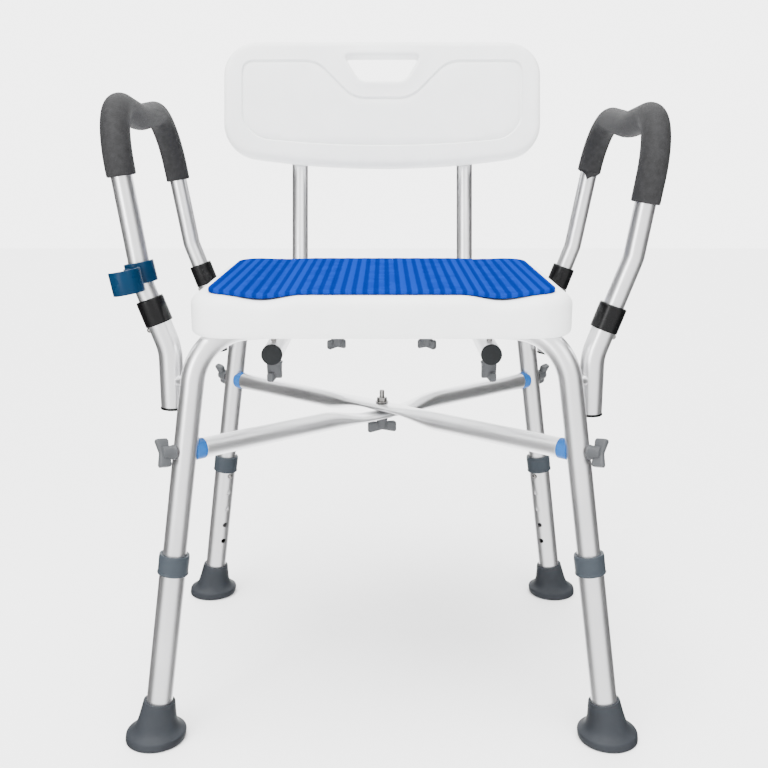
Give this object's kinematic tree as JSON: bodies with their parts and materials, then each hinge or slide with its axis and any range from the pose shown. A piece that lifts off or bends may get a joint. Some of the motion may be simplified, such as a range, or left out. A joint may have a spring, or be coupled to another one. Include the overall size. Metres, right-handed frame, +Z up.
{
  "type": "shower chair",
  "caption": "Shower chair: moulded contoured seat with a ribbed mat, backrest with a handle slot, lift-out padded arms and push-button adjustable legs.",
  "frame": {"origin": "centre of the part's box, on the floor it stands on", "axes": "+Z up, -Y towards the front of the seat, +X to the right as seen from the front"},
  "size_m": [0.6033, 0.5207, 0.7926],
  "materials": {
    "aluminium_tube": "satin anodised",
    "white_plastic": "fine pebble grain",
    "mat_blue": "ribbed non-slip",
    "grip_foam": "closed-cell foam",
    "collar_black": "smooth",
    "collar_grey": "smooth",
    "foot_rubber": "matt",
    "button_steel": "nickel plated",
    "plug_blue": "smooth",
    "knob_grey": "smooth",
    "cap_black": "smooth",
    "nut_steel": "zinc plated",
    "clip_teal": "smooth"
  },
  "bodies": {
    "chair": {"front_leg_frame": "aluminium_tube", "rear_leg_frame": "aluminium_tube", "back_tube_left": "aluminium_tube", "back_tube_right": "aluminium_tube", "back_tube_cap_left": "cap_black", "back_tube_cap_right": "cap_black", "backrest_panel": "white_plastic", "seat_shell": "white_plastic", "seat_mat": "mat_blue", "brace_tube_upper": "aluminium_tube", "brace_tube_lower": "aluminium_tube", "brace_nut": "nut_steel", "brace_plug_front_left": "plug_blue", "arm_socket_front_left": "aluminium_tube", "arm_collar_front_left": "collar_black", "brace_plug_front_right": "plug_blue", "arm_socket_front_right": "aluminium_tube", "arm_collar_front_right": "collar_black", "brace_plug_rear_left": "plug_blue", "arm_socket_rear_left": "aluminium_tube", "arm_collar_rear_left": "collar_black", "brace_plug_rear_right": "plug_blue", "arm_socket_rear_right": "aluminium_tube", "arm_collar_rear_right": "collar_black"},
    "leg_front_left": {"leg_sleeve_front_left": "aluminium_tube", "leg_collar_front_left": "collar_grey", "foot_front_left": "foot_rubber"},
    "leg_front_right": {"leg_sleeve_front_right": "aluminium_tube", "leg_collar_front_right": "collar_grey", "foot_front_right": "foot_rubber"},
    "leg_rear_left": {"leg_sleeve_rear_left": "aluminium_tube", "leg_collar_rear_left": "collar_grey", "foot_rear_left": "foot_rubber"},
    "leg_rear_right": {"leg_sleeve_rear_right": "aluminium_tube", "leg_collar_rear_right": "collar_grey", "foot_rear_right": "foot_rubber"},
    "leg_button_front_left": {"leg_button_front_left": "button_steel"},
    "leg_button_front_right": {"leg_button_front_right": "button_steel"},
    "leg_button_rear_left": {"leg_button_rear_left": "button_steel"},
    "leg_button_rear_right": {"leg_button_rear_right": "button_steel"},
    "arm_left": {"arm_tube_left": "aluminium_tube", "arm_grip_left": "grip_foam"},
    "arm_right": {"arm_tube_right": "aluminium_tube", "arm_grip_right": "grip_foam"},
    "arm_button_front_left": {"arm_button_front_left": "button_steel"},
    "arm_button_front_right": {"arm_button_front_right": "button_steel"},
    "arm_button_rear_left": {"arm_button_rear_left": "button_steel"},
    "arm_button_rear_right": {"arm_button_rear_right": "button_steel"},
    "leg_bolt_front_left": {"leg_wing_bolt_front_left": "knob_grey"},
    "leg_bolt_front_right": {"leg_wing_bolt_front_right": "knob_grey"},
    "leg_bolt_rear_left": {"leg_wing_bolt_rear_left": "knob_grey"},
    "leg_bolt_rear_right": {"leg_wing_bolt_rear_right": "knob_grey"},
    "rail_bolt_front_left": {"rail_wing_bolt_front_left": "knob_grey"},
    "rail_bolt_front_right": {"rail_wing_bolt_front_right": "knob_grey"},
    "rail_bolt_rear_left": {"rail_wing_bolt_rear_left": "knob_grey"},
    "rail_bolt_rear_right": {"rail_wing_bolt_rear_right": "knob_grey"},
    "back_bolt_left": {"back_wing_bolt_left": "knob_grey"},
    "back_bolt_right": {"back_wing_bolt_right": "knob_grey"},
    "brace_bolt": {"brace_wing_bolt": "knob_grey"},
    "clip": {"shower_clip": "clip_teal"}
  },
  "joints": [
    {"name": "leg_front_left_slide", "type": "slide", "parent": "chair", "child": "leg_front_left", "axis": [0.1342, 0.0426, 0.99], "range_m": [0, 0.1016], "deforming": ["leg_button_front_left"]},
    {"name": "leg_front_right_slide", "type": "slide", "parent": "chair", "child": "leg_front_right", "axis": [-0.1342, 0.0426, 0.99], "range_m": [0, 0.1016], "deforming": ["leg_button_front_right"]},
    {"name": "leg_rear_left_slide", "type": "slide", "parent": "chair", "child": "leg_rear_left", "axis": [0.1342, -0.0426, 0.99], "range_m": [0, 0.1016], "deforming": ["leg_button_rear_left"]},
    {"name": "leg_rear_right_slide", "type": "slide", "parent": "chair", "child": "leg_rear_right", "axis": [-0.1342, -0.0426, 0.99], "range_m": [0, 0.1016], "deforming": ["leg_button_rear_right"]},
    {"name": "leg_button_front_left_press", "type": "slide", "parent": "chair", "child": "leg_button_front_left", "axis": [-0.6042, -0.7884, 0.1158], "range_m": [0, 0.004], "stiffness_N_per_m": 600, "springref_m": -0.001},
    {"name": "leg_button_front_right_press", "type": "slide", "parent": "chair", "child": "leg_button_front_right", "axis": [0.6042, -0.7884, 0.1158], "range_m": [0, 0.004], "stiffness_N_per_m": 600, "springref_m": -0.001},
    {"name": "leg_button_rear_left_press", "type": "slide", "parent": "chair", "child": "leg_button_rear_left", "axis": [-0.6042, 0.7884, 0.1158], "range_m": [0, 0.004], "stiffness_N_per_m": 600, "springref_m": -0.001},
    {"name": "leg_button_rear_right_press", "type": "slide", "parent": "chair", "child": "leg_button_rear_right", "axis": [0.6042, 0.7884, 0.1158], "range_m": [0, 0.004], "stiffness_N_per_m": 600, "springref_m": -0.001},
    {"name": "arm_left_lift", "type": "slide", "parent": "chair", "child": "arm_left", "axis": [-0.342, 0, 0.9397], "range_m": [0, 0.055], "deforming": ["arm_button_front_left", "arm_button_rear_left"]},
    {"name": "arm_right_lift", "type": "slide", "parent": "chair", "child": "arm_right", "axis": [0.342, 0, 0.9397], "range_m": [0, 0.055], "deforming": ["arm_button_front_right", "arm_button_rear_right"]},
    {"name": "arm_button_front_left_press", "type": "slide", "parent": "arm_left", "child": "arm_button_front_left", "axis": [0.9397, 0, 0.342], "range_m": [0, 0.003], "stiffness_N_per_m": 600, "springref_m": -0.001},
    {"name": "arm_button_front_right_press", "type": "slide", "parent": "arm_right", "child": "arm_button_front_right", "axis": [-0.9397, 0, 0.342], "range_m": [0, 0.003], "stiffness_N_per_m": 600, "springref_m": -0.001},
    {"name": "arm_button_rear_left_press", "type": "slide", "parent": "arm_left", "child": "arm_button_rear_left", "axis": [0.9397, 0, 0.342], "range_m": [0, 0.003], "stiffness_N_per_m": 600, "springref_m": -0.001},
    {"name": "arm_button_rear_right_press", "type": "slide", "parent": "arm_right", "child": "arm_button_rear_right", "axis": [-0.9397, 0, 0.342], "range_m": [0, 0.003], "stiffness_N_per_m": 600, "springref_m": -0.001},
    {"name": "leg_bolt_front_left_turn", "type": "hinge", "parent": "chair", "child": "leg_bolt_front_left", "pos_m": [-0.2111, -0.2132, 0.33], "axis": [-0.7476, -0.6514, 0.1294], "continuous": true},
    {"name": "leg_bolt_front_right_turn", "type": "hinge", "parent": "chair", "child": "leg_bolt_front_right", "pos_m": [0.2075, -0.2132, 0.33], "axis": [0.7476, -0.6514, 0.1294], "continuous": true},
    {"name": "leg_bolt_rear_left_turn", "type": "hinge", "parent": "chair", "child": "leg_bolt_rear_left", "pos_m": [-0.2111, 0.1462, 0.33], "axis": [-0.7476, 0.6514, 0.1294], "continuous": true},
    {"name": "leg_bolt_rear_right_turn", "type": "hinge", "parent": "chair", "child": "leg_bolt_rear_right", "pos_m": [0.2075, 0.1462, 0.33], "axis": [0.7476, 0.6514, 0.1294], "continuous": true},
    {"name": "rail_bolt_front_left_turn", "type": "hinge", "parent": "chair", "child": "rail_bolt_front_left", "pos_m": [-0.0518, -0.1485, 0.4449], "axis": [0, 0, -1], "continuous": true},
    {"name": "rail_bolt_front_right_turn", "type": "hinge", "parent": "chair", "child": "rail_bolt_front_right", "pos_m": [0.0482, -0.1485, 0.4449], "axis": [0, 0, -1], "continuous": true},
    {"name": "rail_bolt_rear_left_turn", "type": "hinge", "parent": "chair", "child": "rail_bolt_rear_left", "pos_m": [-0.0518, 0.0815, 0.4449], "axis": [0, 0, -1], "continuous": true},
    {"name": "rail_bolt_rear_right_turn", "type": "hinge", "parent": "chair", "child": "rail_bolt_rear_right", "pos_m": [0.0482, 0.0815, 0.4449], "axis": [0, 0, -1], "continuous": true},
    {"name": "back_bolt_left_turn", "type": "hinge", "parent": "chair", "child": "back_bolt_left", "pos_m": [-0.1183, -0.17224, 0.42], "axis": [0, 0, -1], "continuous": true},
    {"name": "back_bolt_right_turn", "type": "hinge", "parent": "chair", "child": "back_bolt_right", "pos_m": [0.1147, -0.17224, 0.42], "axis": [0, 0, -1], "continuous": true},
    {"name": "brace_bolt_turn", "type": "hinge", "parent": "chair", "child": "brace_bolt", "pos_m": [-0.0018, -0.0335, 0.3196], "axis": [0, 0, -1], "continuous": true},
    {"name": "clip_swivel", "type": "hinge", "parent": "arm_left", "child": "clip", "pos_m": [-0.2534, -0.1915, 0.5185], "axis": [-0.1908, 0, 0.9816], "range_deg": [-90, 90]}
  ]
}
